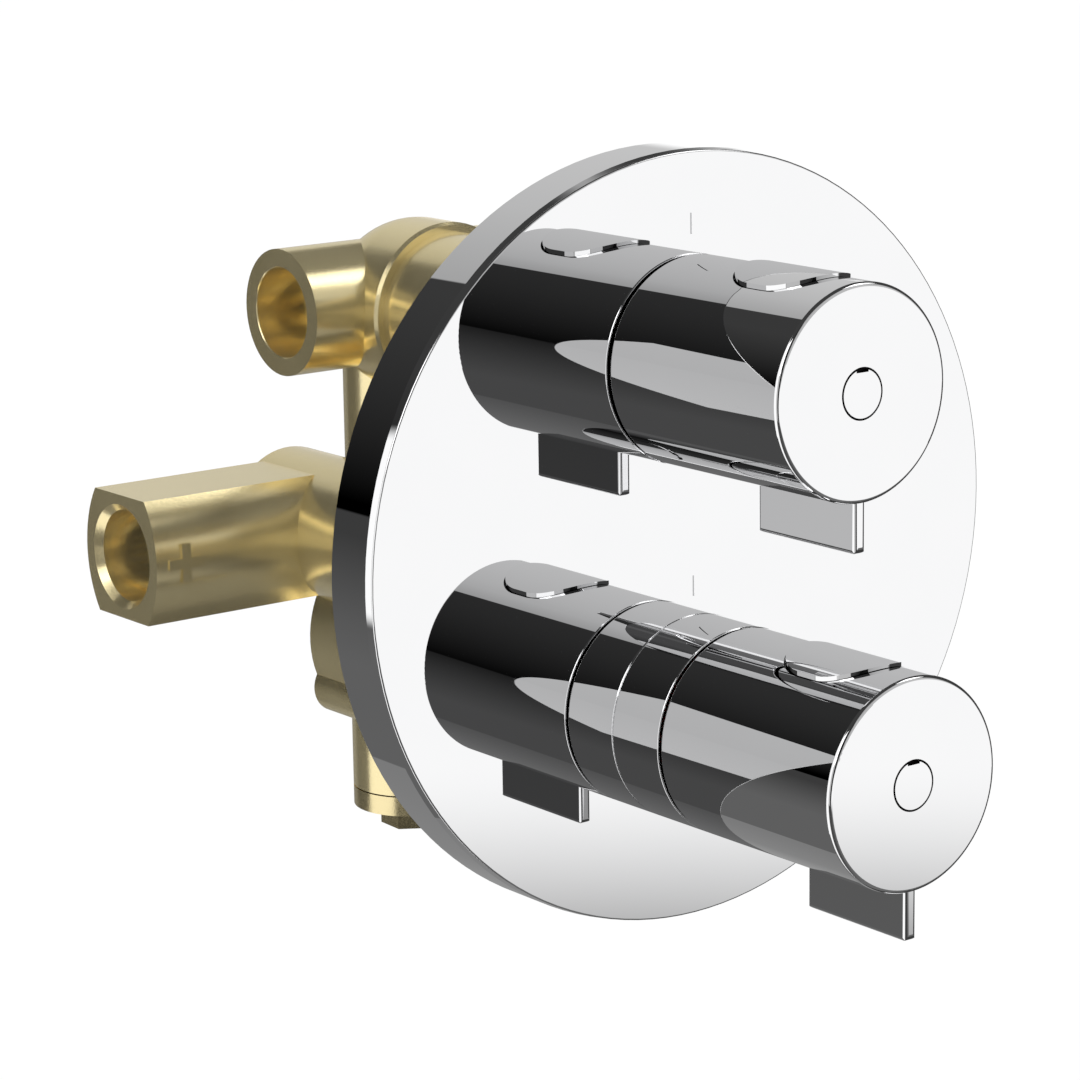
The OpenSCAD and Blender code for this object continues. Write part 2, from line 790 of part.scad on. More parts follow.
// screws through the handle's wall into the blade, heads inside the handle
module blade_screws(y, z) {
    for (sy = blade_screw_ys(y))
        translate([0, sy, z - fin_screw_seat_r]) {
            translate([0, 0, fin_screw_seat_r - fin_root_z - fin_screw_grip + seat_gap])
                cylinder(d = fin_screw_d - 2 * seat_gap, h = fin_root_z + fin_screw_grip - fin_screw_seat_r);
            translate([0, 0, seat_gap])
                difference() {
                    cylinder(d = fin_screw_head_d, h = fin_screw_head_l);
                    translate([0, 0, fin_screw_head_l / 2])
                        cylinder(d = fin_screw_d, h = fin_screw_head_l, $fn = 6);
                }
        }
}

module button_outline(y, grow) {
    translate([0, y + button_mid])
        obround(button_w + 2 * grow, button_l + 2 * grow);
}

module knob(y, z) {
    difference() {
        round_bar_y(y, y + knob_l, knob_r, knob_edge_r, knob_back_r, z);
        along_y(y + knob_face_t, y + knob_l + cut, knob_bore_r, 0, z);
        along_y(y - cut, y + cap_groove_l, cap_d / 2 + cap_groove_w, 0, z);
        along_y(y - cut, y + knob_face_t + cut, cap_d / 2 + seat_gap, 0, z);
        translate([0, 0, z])
            linear_extrude(height = knob_r + cut)
                button_outline(y, button_gap);
        // slot of the blade
        translate([-fin_t / 2, y + fin_setback, z - knob_r - cut])
            cube([fin_t, fin_l, cut + fin_socket]);
        for (sy = blade_screw_ys(y))
            translate([0, sy, z - knob_r])
                cylinder(d = fin_screw_d, h = knob_wall + cut);
    }
}

// inner hub: a flange against the handle's front, a seat for the button's spring and a splined socket
module knob_insert(y, z) {
    y0 = y + insert_y;
    difference() {
        union() {
            along_y(y0, y0 + insert_flange_t, knob_bore_r - insert_gap, 0, z);
            along_y(y0, y0 + insert_boss_l, insert_boss_r, 0, z);
            along_y(y0, y0 + insert_hub_l, insert_hub_r, 0, z);
        }
        along_y(y0 - cut, y0 + screw_head_l, screw_head_d / 2 + insert_gap, 0, z);
        along_y(y0 - cut, y0 + insert_hub_l, screw_d / 2 + insert_gap, 0, z);
        along_y(y0 + insert_hub_l - spline_depth, y0 + insert_hub_l + cut, spline_d / 2 + seat_gap, 0, z);
        translate([0, y + button_spring_y, z + insert_boss_r - button_spring_seat])
            cylinder(d = button_spring_d + clear_gap, h = button_spring_seat + cut);
        // room for the blade's front screw
        for (sy = blade_screw_ys(y))
            translate([0, sy, z - knob_bore_r - cut])
                cylinder(d = fin_screw_head_d + clear_gap,
                    h = knob_bore_r - fin_screw_seat_r + fin_screw_head_l + cut + clear_gap);
    }
}

module knob_screw(y, z) {
    y0 = y + insert_y + screw_head_l;
    difference() {
        union() {
            along_y(y0 - screw_head_l + seat_gap, y0, screw_head_d / 2, 0, z);
            along_y(y0, y0 + screw_l, screw_d / 2, 0, z);
        }
        hex_y(y0 - screw_head_l - cut, y0 - screw_head_l / 2, screw_key, z);
    }
}

module screw_cover(y, z) {
    difference() {
        along_y(y - cap_rise, y + cap_l, cap_d / 2, 0, z);
        // pry notch
        translate([-cap_notch_w / 2, y - cap_rise - cut, z + cap_d / 2 - cap_notch_h])
            cube([cap_notch_w, cap_rise + cap_groove_l + cut, cap_d]);
    }
}

// stop button: a top that follows the handle, a lip inside its wall and a hooked stem
module button(y, z) {
    lip_r = knob_bore_r - clear_gap;
    tab_z = z + stop_collar_r - button_tab_h;
    difference() {
        union() {
            intersection() {
                translate([0, 0, z])
                    linear_extrude(height = knob_d)
                        button_outline(y, 0);
                along_y(y, y + knob_l, knob_r + button_rise, 0, z);
            }
            intersection() {
                translate([0, 0, z])
                    linear_extrude(height = knob_d)
                        button_outline(y, button_lip);
                along_y(y, y + knob_l, lip_r, 0, z);
            }
        }
        along_y(y - cut, y + knob_l + cut, lip_r - button_lip_t, 0, z);
    }
    translate([-button_stem_w / 2, y + button_stem_y, tab_z]) {
        cube([button_stem_w, button_stem_t, lip_r - button_lip_t / 2 - stop_collar_r + button_tab_h]);
        cube([button_stem_w, button_stem_t + button_tab_l, button_tab_h]);
    }
}

module button_spring(y, z) {
    z0 = insert_boss_r - button_spring_seat + seat_gap;
    z1 = sqrt(pow(knob_bore_r - clear_gap - button_lip_t, 2) - pow(button_spring_d / 2, 2)) - seat_gap;
    translate([0, y + button_spring_y, z + z0])
        coil((button_spring_d - button_spring_wire) / 2, button_spring_wire,
            button_spring_turns, z1 - z0);
}

// splined rod from the cartridge's stem to the handle
module extension(y, z) {
    spline_end = y + insert_y + insert_hub_l - spline_depth + clear_gap;
    hub_end = y + insert_y + insert_hub_l + clear_gap;
    difference() {
        union() {
            along_y(spline_end, hub_end, spline_d / 2, 0, z);
            along_y(hub_end, stem_y + stem_tip_depth, rod_d / 2, 0, z);
        }
        along_y(stem_y, stem_y + stem_tip_depth + cut, stem_d / 2 + seat_gap, 0, z);
        along_y(spline_end - cut, y + insert_y + screw_head_l + screw_l + clear_gap,
            screw_d / 2 + seat_gap, 0, z);
    }
}

// fixed ring in the sleeve's mouth, with a finger at each angle where the handle's button stops it
module stop_ring(y, front_y, z, angles) {
    end_y = y + stop_ring_y;
    finger_y = y + button_stem_y + button_stem_t + button_tab_l + clear_gap;
    ring_y(front_y + seat_gap, front_y + stop_flange_t, sleeve_bore_r - seat_gap,
        stop_tube_r - stop_tube_t, 0, z);
    ring_y(end_y, front_y + stop_flange_t, stop_tube_r, stop_tube_r - stop_tube_t, 0, z);
    ring_y(end_y, end_y + stop_collar_t, stop_collar_r, stop_tube_r - stop_tube_t, 0, z);
    for (a = angles)
        translate([0, 0, z])
            rotate([0, a, 0])
                translate([-stop_finger_w / 2, finger_y, stop_collar_r - stop_collar_t])
                    cube([stop_finger_w, end_y - finger_y + stop_collar_t / 2,
                        stop_collar_t - clear_gap]);
}

module flow_knob() {
    color("gainsboro")
        knob(flow_face_y, flow_z);
}
module flow_blade() {
    color("gainsboro")
        blade(flow_face_y, flow_z);
}
module flow_blade_screws() {
    color("dimgray")
        blade_screws(flow_face_y, flow_z);
}
module flow_knob_insert() {
    color("whitesmoke")
        knob_insert(flow_face_y, flow_z);
}
module flow_knob_screw() {
    color("dimgray")
        knob_screw(flow_face_y, flow_z);
}
module flow_screw_cover() {
    color("gainsboro")
        screw_cover(flow_face_y, flow_z);
}
module flow_button() {
    color("gainsboro")
        button(flow_face_y, flow_z);
}
module flow_button_spring() {
    color("slategray")
        button_spring(flow_face_y, flow_z);
}
module flow_extension() {
    color("goldenrod")
        extension(flow_face_y, flow_z);
}
module flow_stop_ring() {
    color("whitesmoke")
        stop_ring(flow_face_y, plate_y, flow_z, flow_finger_angles);
}
module temperature_knob() {
    color("gainsboro")
        knob(thermo_face_y, thermo_z);
}
module temperature_blade() {
    color("gainsboro")
        blade(thermo_face_y, thermo_z);
}
module temperature_blade_screws() {
    color("dimgray")
        blade_screws(thermo_face_y, thermo_z);
}
module temperature_knob_insert() {
    color("whitesmoke")
        knob_insert(thermo_face_y, thermo_z);
}
module temperature_knob_screw() {
    color("dimgray")
        knob_screw(thermo_face_y, thermo_z);
}
module temperature_screw_cover() {
    color("gainsboro")
        screw_cover(thermo_face_y, thermo_z);
}
module temperature_button() {
    color("gainsboro")
        button(thermo_face_y, thermo_z);
}
module temperature_button_spring() {
    color("slategray")
        button_spring(thermo_face_y, thermo_z);
}
module temperature_extension() {
    color("goldenrod")
        extension(thermo_face_y, thermo_z);
}
module temperature_stop_ring() {
    color("tomato")
        stop_ring(thermo_face_y, collar_y, thermo_z, temperature_finger_angles);
}

// Flow cartridge: ceramic discs behind a splined stem.

module gland_nut(z) {
    difference() {
        union() {
            along_y(neck_y, gland_y - seat_gap, gland_r - seat_gap, 0, z);
            hex_y(neck_y - gland_head_l, neck_y, gland_flats, z);
        }
        along_y(neck_y - gland_head_l - cut, gland_y + cut, nose_d / 2 + seat_gap, 0, z);
    }
}

module flow_cartridge_housing() {
    color("whitesmoke")
        difference() {
            union() {
                along_y(gland_y, flow_seal_y, flow_bore_r - seat_gap, 0, flow_z);
                along_y(nose_y, gland_y, nose_d / 2, 0, flow_z);
            }
            along_y(driver_y - clear_gap, flow_seal_y + cut, disc_d / 2 + seat_gap, 0, flow_z);
            along_y(nose_y - cut, flow_seal_y, stem_d / 2 + run_gap, 0, flow_z);
        }
}

module flow_gland_nut() {
    color("goldenrod")
        gland_nut(flow_z);
}

module flow_cartridge_stem() {
    color("goldenrod")
        union() {
            along_y(stem_y, driver_y, stem_d / 2, 0, flow_z);
            along_y(driver_y, moving_disc_y, driver_r, 0, flow_z);
        }
}

module flow_moving_disc() {
    color("white")
        difference() {
            along_y(moving_disc_y, fixed_disc_y, driver_r, 0, flow_z);
            // pocket that joins the supply to one outlet at each end of the turn
            translate([-disc_port_r, fixed_disc_y - disc_pocket_depth, flow_z - port_x])
                cube([2 * disc_port_r, disc_pocket_depth + cut, port_x]);
            for (z = [flow_z - port_x, flow_z])
                along_y(fixed_disc_y - disc_pocket_depth, fixed_disc_y + cut, disc_port_r, 0, z);
        }
}

module flow_ports(y0, y1, r) {
    for (s = [-1, 1])
        along_y(y0 - cut, y1 + cut, r, s * port_x, outlet_z);
    along_y(y0 - cut, y1 + cut, r, 0, flow_z);
}

module flow_fixed_disc() {
    color("white")
        difference() {
            along_y(fixed_disc_y, flow_seal_y, disc_d / 2, 0, flow_z);
            flow_ports(fixed_disc_y, flow_seal_y, disc_port_r);
        }
}

module flow_floor_seal() {
    color("black")
        difference() {
            along_y(flow_seal_y, flow_floor_y, flow_bore_r - seat_gap, 0, flow_z);
            flow_ports(flow_seal_y, flow_floor_y, port_d / 2);
        }
}

// Thermostat: a wax element moves the spool between the hot and the cold ring channel.

module thermostat_housing() {
    color("goldenrod")
        difference() {
            union() {
                along_y(gland_y, thermo_floor_y, thermo_bore_r - seat_gap, 0, thermo_z);
                along_y(nose_y, gland_y, nose_d / 2, 0, thermo_z);
            }
            along_y(nose_y - cut, gland_y, stem_d / 2 + run_gap, 0, thermo_z);
            along_y(gland_y - spring_seat_t, thermo_step_y, screw_flange_r + clear_gap, 0, thermo_z);
            along_y(thermo_step_y, thermo_seal_y, thermo_inner_r, 0, thermo_z);
            along_y(thermo_step_y, thermo_floor_y + cut, thermo_outlet_r, 0, thermo_z);
            for (y = [hot_ring_y, cold_ring_y], i = [0 : port_ring_count - 1])
                translate([0, y, thermo_z])
                    rotate([0, 360 * i / port_ring_count, 0])
                        cylinder(d = port_ring_d, h = thermo_bore_r + cut);
            for (y = seal_ring_ys)
                ring_y(y - seal_ring_t / 2 - seat_gap, y + seal_ring_t / 2 + seat_gap, thermo_bore_r + cut,
                    thermo_bore_r - seal_groove_depth, 0, thermo_z);
        }
}

module thermostat_gland_nut() {
    color("goldenrod")
        gland_nut(thermo_z);
}

// regulating screw, turned by the handle
module thermostat_screw() {
    color("silver")
        union() {
            along_y(stem_y, gland_y - spring_seat_t + clear_gap, stem_d / 2, 0, thermo_z);
            along_y(gland_y - spring_seat_t + clear_gap, gland_y - spring_seat_t + clear_gap + screw_flange_t,
                screw_flange_r, 0, thermo_z);
        }
}

module thermostat_overload_spring() {
    y0 = gland_y - spring_seat_t + clear_gap + screw_flange_t + seat_gap;
    color("slategray")
        coil_y(y0, screw_flange_r - thermo_spring_wire, thermo_spring_wire, overload_turns,
            wax_y - wax_flange_t - seat_gap - y0, 0, thermo_z);
}

module thermostat_spool() {
    inner_r = spool_d / 2 - spool_wall;
    color("gold")
        difference() {
            along_y(spool_y, spool_y + spool_l, spool_d / 2, 0, thermo_z);
            along_y(spool_y - cut, spool_y + (spool_l - wax_flange_t) / 2, inner_r, 0, thermo_z);
            along_y(spool_y + (spool_l + wax_flange_t) / 2, spool_y + spool_l + cut, inner_r, 0, thermo_z);
            along_y(spool_y - cut, spool_y + spool_l + cut, wax_d / 2 + seat_gap, 0, thermo_z);
            translate([0, 0, thermo_z])
                for (i = [0 : spool_holes - 1])
                    rotate([0, 360 * i / spool_holes, 0])
                        along_y(spool_y, spool_y + spool_l, spool_hole_r, 0, (inner_r + wax_d / 2) / 2);
        }
}

module thermostat_wax_element() {
    color("peru")
        union() {
            along_y(wax_y - wax_flange_t, wax_y, screw_flange_r, 0, thermo_z);
            along_y(wax_y, wax_y + wax_l, wax_d / 2, 0, thermo_z);
        }
}

module thermostat_return_spring() {
    y0 = spool_y + (spool_l + wax_flange_t) / 2 + seat_gap;
    color("slategray")
        coil_y(y0, thermo_outlet_r + thermo_spring_wire, thermo_spring_wire, return_turns,
            thermo_seal_y - seat_gap - y0, 0, thermo_z);
}

module thermostat_seals() {
    color("black")
        for (y = seal_ring_ys)
            ring_y(y - seal_ring_t / 2, y + seal_ring_t / 2, thermo_bore_r - seat_gap,
                thermo_bore_r - seal_groove_depth + seat_gap, 0, thermo_z);
}

// Check valves, one in each inlet chamber. They open towards the front.

module check_housing(x) {
    back = check_y + check_l;
    color("darkslategray")
        difference() {
            along_y(check_y, back, side_bore_r - seat_gap, x, inlet_z);
            along_y(check_y + check_hub_l, back - check_seat_t, side_bore_r - check_wall, x, inlet_z);
            along_y(back - check_seat_t - cut, back + cut, check_seat_r, x, inlet_z);
            difference() {
                along_y(check_y - cut, check_y + check_hub_l + cut, side_bore_r - check_wall, x, inlet_z);
                along_y(check_y - cut, check_y + check_hub_l, check_hub_r, x, inlet_z);
                for (i = [0 : check_arms - 1])
                    translate([x, check_y, inlet_z])
                        rotate([0, 360 * i / check_arms, 0])
                            translate([-check_arm_w / 2, -cut, 0])
                                cube([check_arm_w, check_hub_l + cut, side_bore_r]);
            }
            along_y(check_y - cut, back, check_stem_r + run_gap, x, inlet_z);
        }
}

module check_disc(x) {
    back = check_y + check_l - check_seat_t - seat_gap;
    color("ivory")
        union() {
            along_y(back - check_disc_t, back, check_disc_r, x, inlet_z);
            along_y(check_y - check_hub_l, back, check_stem_r, x, inlet_z);
        }
}

module check_spring(x) {
    y0 = check_y + check_hub_l + seat_gap;
    color("slategray")
        coil_y(y0, check_spring_r, check_spring_wire, check_spring_turns,
            check_l - check_hub_l - check_seat_t - check_disc_t - 3 * seat_gap, x, inlet_z);
}

module hot_check_housing() {
    check_housing(-side_chamber_x);
}
module hot_check_disc() {
    check_disc(-side_chamber_x);
}
module hot_check_spring() {
    check_spring(-side_chamber_x);
}
module cold_check_housing() {
    check_housing(side_chamber_x);
}
module cold_check_disc() {
    check_disc(side_chamber_x);
}
module cold_check_spring() {
    check_spring(side_chamber_x);
}

// slotted cup in an inlet's waterway, with a lip in the recess at the end of the thread
module strainer(side) {
    x0 = inlet_x - thread_l - strainer_lip;
    r = inlet_way_d / 2 - seat_gap;
    color("silver")
        scale([side, 1, 1])
            difference() {
                union() {
                    along_x(x0 - strainer_l, x0 + strainer_lip, r, pipe_depth, inlet_z);
                    along_x(x0 + seat_gap, x0 + strainer_lip, strainer_lip_r - seat_gap, pipe_depth,
                        inlet_z);
                }
                along_x(x0 - strainer_l + strainer_wall, x0 + strainer_lip + cut, r - strainer_wall,
                    pipe_depth, inlet_z);
                for (i = [0 : strainer_slots - 1])
                    translate([x0 - strainer_l + 2 * strainer_wall, pipe_depth, inlet_z])
                        rotate([360 * i / strainer_slots, 0, 0])
                            translate([0, -strainer_slot_w / 2, 0])
                                cube([strainer_l - 4 * strainer_wall, strainer_slot_w, inlet_way_d]);
            }
}

module hot_strainer() {
    strainer(-1);
}
module cold_strainer() {
    strainer(1);
}

// Plugs.

module service_plug(x) {
    seat_y = side_chamber_y - plug_seal_t;
    color("goldenrod")
        difference() {
            union() {
                along_y(seat_y, side_chamber_y + plug_thread_l, side_mouth_r - plug_thread_gap, x, inlet_z);
                along_y(seat_y - plug_head_l, seat_y, plug_head_d / 2, x, inlet_z);
            }
            hex_y(seat_y - plug_head_l - cut, seat_y + plug_thread_l / 2, plug_socket, inlet_z, x);
        }
}

module hot_service_plug() {
    service_plug(-side_chamber_x);
}
module cold_service_plug() {
    service_plug(side_chamber_x);
}

module service_plug_seals() {
    color("black")
        for (s = [-1, 1])
            ring_y(side_chamber_y - plug_seal_t, side_chamber_y, plug_head_d / 2,
                side_mouth_r + plug_thread_gap, s * side_chamber_x, inlet_z);
}

module lower_plug() {
    color("goldenrod")
        translate([0, pipe_depth, -pipe_drop]) {
            translate([0, 0, -lower_plug_head])
                rotate([0, 0, lower_plug_turn])
                    cylinder(d = lower_plug_flats / cos(30), h = lower_plug_head, $fn = 6);
            cylinder(d = pipe_d, h = plug_flange_t);
            cylinder(r = pipe_way_d / 2 - plug_thread_gap, h = plug_flange_t + lower_plug_l);
        }
}

module lower_plug_seal() {
    color("black")
        translate([0, pipe_depth, pipe_end_z - plug_groove])
            difference() {
                cylinder(r = pipe_r - plug_seal_inset, h = plug_groove);
                translate([0, 0, -cut])
                    cylinder(r = pipe_way_d / 2 + seat_gap, h = plug_groove + 2 * cut);
            }
}

valve_body();
cover_plate();
wall_seal();
sleeve_seals();
flow_sleeve();
temperature_sleeve();
collar();
flow_knob();
flow_blade();
flow_blade_screws();
flow_knob_insert();
flow_knob_screw();
flow_screw_cover();
flow_button();
flow_button_spring();
flow_extension();
flow_stop_ring();
temperature_knob();
temperature_blade();
temperature_blade_screws();
temperature_knob_insert();
temperature_knob_screw();
temperature_screw_cover();
temperature_button();
temperature_button_spring();
temperature_extension();
temperature_stop_ring();
flow_cartridge_housing();
flow_gland_nut();
flow_cartridge_stem();
flow_moving_disc();
flow_fixed_disc();
flow_floor_seal();
thermostat_housing();
thermostat_gland_nut();
thermostat_screw();
thermostat_overload_spring();
thermostat_spool();
thermostat_wax_element();
thermostat_return_spring();
thermostat_seals();
hot_check_housing();
hot_check_disc();
hot_check_spring();
cold_check_housing();
cold_check_disc();
cold_check_spring();
hot_strainer();
cold_strainer();
hot_service_plug();
cold_service_plug();
service_plug_seals();
lower_plug();
lower_plug_seal();
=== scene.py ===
import json
import math

import bpy
from mathutils import Matrix, Vector

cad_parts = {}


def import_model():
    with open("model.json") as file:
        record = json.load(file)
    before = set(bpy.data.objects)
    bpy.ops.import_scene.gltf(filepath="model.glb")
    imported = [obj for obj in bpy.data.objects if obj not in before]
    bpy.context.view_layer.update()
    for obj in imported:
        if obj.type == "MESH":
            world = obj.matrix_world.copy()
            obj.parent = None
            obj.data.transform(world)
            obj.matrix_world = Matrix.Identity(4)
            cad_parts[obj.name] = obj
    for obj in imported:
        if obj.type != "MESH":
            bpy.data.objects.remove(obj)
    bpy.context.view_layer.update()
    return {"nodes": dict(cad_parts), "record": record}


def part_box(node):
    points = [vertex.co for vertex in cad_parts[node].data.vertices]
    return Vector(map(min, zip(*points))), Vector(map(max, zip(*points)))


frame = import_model()
nodes = frame["nodes"]

MM = 0.001
UP = Vector((0, 0, 1))
WHITE_COLOUR = (1, 1, 1, 1)

# Camera, solved from the rims of the plate, the handles and the screw covers. Angles are in degrees, place
# and clips in metres, the sensor in millimetres, and the rest in pixels of the photo.
PHOTO_WIDTH = 1080
CAMERA_AZIMUTH = -37.059
CAMERA_ELEVATION = 12.579
CAMERA_ROLL = -0.888
CAMERA_PLACE = Vector((-0.44806, -0.55771, 0.15750))
FOCAL_LENGTH = 3770.7
SHIFT_RIGHT = -1.5
SHIFT_UP = 1.5
SENSOR_WIDTH = 36
CLIP_NEAR = 0.01
CLIP_FAR = 50

# Studio, as polished chrome mirrors it. Azimuth 0 is in front of the plate, 90 at its right, 180 behind it,
# and a turn is an azimuth from 0 to 360. Stops are (degrees, level). A pair of degrees is where a change
# starts and ends.
FULL_TURN = 360.0
DARK = 0.045
WHITE = 1.0
BRIGHT = 1.05
SOFT_EDGE = 0.25

# In front at the left, by elevation
FRONT_HORIZON = 2
FRONT_LEFT_FLOOR = ((-28, 0.066), (2, 0.014))
FRONT_LEFT_WALL = ((3, 0.003), (41, 0.027))

# In front at the right, by azimuth, with the elevations of the white panel's top and of the floor's edge
FRONT_CORNER = -6
FRONT_END = (52, 60)
FRONT_RIGHT_FLOOR = ((-5, 0.09), (33, 0.145))
FRONT_RIGHT_WALL = ((-5, 0.35), (5, 0.43), (14, 0.465), (28, 0.50), (42, 0.53))
PANEL_TOP = (-5.5, -2.5)
FLOOR_EDGE_AZIMUTH = (20, 36)
FLOOR_EDGE_ELEVATION = (-17.5, -18.5)
FLOOR_EDGE_FADE = (-1.8, 2.6)

# Behind at the right, by turn
BACK_HALF = (95.0, 285.0)
BACK_HORIZON = 1
BACK_START = (124, 131)
BACK_START_LEAN = 0.55
BACK_RIGHT_FLOOR = ((146, 0.30), (158, 0.237), (186, 0.205))
BACK_RIGHT_WALL = ((140, 0.57), (164, 0.503), (188, 0.385))
BACK_LAMP_TURN = 136.0
BACK_LAMP_EDGE = (5, 12)

# Behind at the left, by elevation
BACK_CORNER = 188
BACK_LEFT_FLOOR = ((-25, 0.119), (-18, 0.1), (-3, 0.045))
BACK_LEFT_WALL = ((3, 0.0), (35, 0.041))

# The bright left, by turn, and the dark overhead, by elevation
LEFT_START = 232
LEFT_START_SOFT = 0.6
LEFT_END_SPAN = (280.0, 296.0)
LEFT_END = (286, 292)
OVERHEAD = (42, 50)

# Soft light, by elevation and by the sideways part of the direction
DOME_ELEVATION = (-10, 60)
DOME_RISE = (0.08, 2.0)
DOME_SIDEWAYS = (-0.9, 0.2)
DOME_SIDE_SHARES = (0.25, 1.0)

# Lamps: places and sizes in metres, power in watts
KEY_PLACE = Vector((1.065, -0.585, 1.273))
KEY_TARGET = Vector((0, 0.03, 0))
KEY_SIZE = 0.6
KEY_POWER = 2.6
FILL_PLACE = Vector((-1.2, -0.5, 0.8))
FILL_TARGET = Vector((0, 0.05, 0))
FILL_SIZE = 0.8
FILL_POWER = 3

# Pale card at the camera's left, near enough that only the handles' own sides mirror it
CARD_EDGE = Vector((-0.508, -0.645, 0))
CARD_SIDE = Vector((-0.79, 0.61, 0))
CARD_WIDTH = 0.45
CARD_HEIGHT = 0.53
CARD_LEVEL = 0.48

FLOOR_REACH = 20.0
FLOOR_HEIGHT = -0.2
FLOOR_COLOUR = (0.9, 0.9, 0.9, 1)
FLOOR_SHADED_SHARE = 0.06

# Textures: a scale is about how many blotches a metre has, a detail how many finer layers are on them, and a
# noise keeps mostly between these levels
CLOUD_DETAIL = 4
GRAIN_DETAIL = 3
NOISE_LEVELS = (0.3, 0.7)

CHROME_COLOURS = ((0.925, 0.927, 0.935, 1), (0.945, 0.945, 0.95, 1))
CHROME_CLOUD_SCALE = 60
CHROME_CLOUD_DETAIL = 2
CHROME_MARK_SCALE = 900
CHROME_MARK_DETAIL = 4
CHROME_MARK_LEVELS = (0.3, 0.8)
CHROME_ROUGHNESS = (0.0, 0.012)

# Painted shade in the groove round a screw cover: a dark colour that starts this far behind a front and
# reaches this far past the cover
GROOVE_SHADE_COLOUR = (0.02, 0.02, 0.02, 1)
GROOVE_ROUGHNESS = 0.6
COVER_FRONT_DEPTH = 0.06 * MM
COVER_REACH = 1 * MM
KNOB_FRONT_DEPTH = 0.04 * MM
KNOB_REACH = 0.45 * MM

BRASS_COLOURS = ((0.97, 0.81, 0.44, 1), (1.0, 0.88, 0.53, 1))
BRASS_CLOUD_SCALE = 45
BRASS_METALLIC = 0.9
BRASS_ROUGHNESS = (0.18, 0.23)
BRASS_GRAIN_SCALE = 1400
BRASS_GRAIN_DEPTH = 0.03 * MM
BRASS_GRAIN_STRENGTH = 0.4

# Simple finishes: how far colour and roughness vary, and how many times finer marks and grain are than clouds
COLOUR_SPREAD = 0.06
ROUGHNESS_SPREAD = 0.15
MARKS_FINER = 3
GRAIN_FINER = 12
GRAIN_DEPTH = 0.02 * MM
GRAIN_STRENGTH = 0.5


def camera():
    azimuth = math.radians(CAMERA_AZIMUTH)
    elevation = math.radians(CAMERA_ELEVATION)
    roll = math.radians(CAMERA_ROLL)
    across = math.cos(elevation)
    back = Vector((math.sin(azimuth) * across, -math.cos(azimuth) * across, math.sin(elevation)))
    right = UP.cross(back).normalized()
    up = back.cross(right)
    x = math.cos(roll) * right + math.sin(roll) * up
    y = -math.sin(roll) * right + math.cos(roll) * up
    data = bpy.data.cameras.new("camera")
    data.sensor_fit = "HORIZONTAL"
    data.sensor_width = SENSOR_WIDTH
    data.lens = FOCAL_LENGTH / PHOTO_WIDTH * SENSOR_WIDTH
    data.shift_x = SHIFT_RIGHT / PHOTO_WIDTH
    data.shift_y = SHIFT_UP / PHOTO_WIDTH
    data.clip_start = CLIP_NEAR
    data.clip_end = CLIP_FAR
    obj = bpy.data.objects.new("camera", data)
    bpy.context.scene.collection.objects.link(obj)
    place = Matrix((x, y, back)).transposed().to_4x4()
    place.translation = CAMERA_PLACE
    obj.matrix_world = place
    bpy.context.scene.camera = obj
    bpy.context.scene.view_settings.view_transform = "Standard"


class Tree:
    """Short calls for building a shader tree. Each value is a number, a colour or another node's output."""

    def __init__(self, tree):
        self.tree = tree
        tree.nodes.clear()

    def node(self, kind, **settings):
        node = self.tree.nodes.new(kind)
        for name, value in settings.items():
            setattr(node, name, value)
        return node

    def put(self, socket, value):
        if isinstance(value, bpy.types.NodeSocket):
            self.tree.links.new(value, socket)
        else:
            socket.default_value = value

    def fill(self, node, *values):
        """Puts values into a node's sockets in use, in their order, and gives its output in use."""
        sockets = [socket for socket in node.inputs if socket.enabled]
        for socket, value in zip(sockets, values):
            self.put(socket, value)
        return next(socket for socket in node.outputs if socket.enabled)

    def calc(self, operation, *values):
        return self.fill(self.node("ShaderNodeMath", operation=operation), *values)

    def length(self, x, y):
        squares = [self.calc("MULTIPLY", part, part) for part in (x, y)]
        return self.calc("SQRT", self.calc("ADD", *squares))

    def inside(self, value, low, high):
        """1 from low to high, and 0 elsewhere."""
        over_low = self.calc("GREATER_THAN", value, low)
        return self.calc("MULTIPLY", over_low, self.calc("LESS_THAN", value, high))

    def ramp(self, value, low, high, below=0.0, above=1.0, kind="SMOOTHSTEP"):
        """One level below low, another above high, and a change between them."""
        node = self.node("ShaderNodeMapRange", interpolation_type=kind, clamp=True)
        return self.fill(node, value, low, high, below, above)

    def line(self, value, stops):
        """A broken line through (value, level) stops."""
        level = stops[0][1]
        for (low, below), (high, above) in zip(stops, stops[1:]):
            level = self.calc("ADD", level, self.ramp(value, low, high, 0.0, above - below, "LINEAR"))
        return level

    def mix(self, factor, first, second, kind="FLOAT"):
        return self.fill(self.node("ShaderNodeMix", data_type=kind, clamp_factor=True), factor, first, second)

    def step(self, value, edge, below, above, soft=SOFT_EDGE):
        return self.mix(self.ramp(value, edge - soft, edge + soft), below, above)

    def noise(self, place, scale, detail):
        node = self.node("ShaderNodeTexNoise")
        self.put(node.inputs["Vector"], place)
        node.inputs["Scale"].default_value = scale
        node.inputs["Detail"].default_value = detail
        return node.outputs["Fac"]

    def parts(self, vector):
        node = self.node("ShaderNodeSeparateXYZ")
        self.put(node.inputs[0], vector)
        return node.outputs

    def coloured(self, kind, colour):
        """A shader that needs only its colour."""
        node = self.node(kind)
        self.put(node.inputs["Color"], colour)
        return node.outputs[0]

    def mix_shader(self, factor, first, second):
        return self.fill(self.node("ShaderNodeMixShader"), factor, first, second)

    def output(self, kind, shader):
        self.put(self.node(kind).inputs[0], shader)


def front_left(tree, elevation):
    """A dark wall above a dark floor."""
    floor_level = tree.line(elevation, FRONT_LEFT_FLOOR)
    wall_level = tree.line(elevation, FRONT_LEFT_WALL)
    return tree.step(elevation, FRONT_HORIZON, floor_level, wall_level)


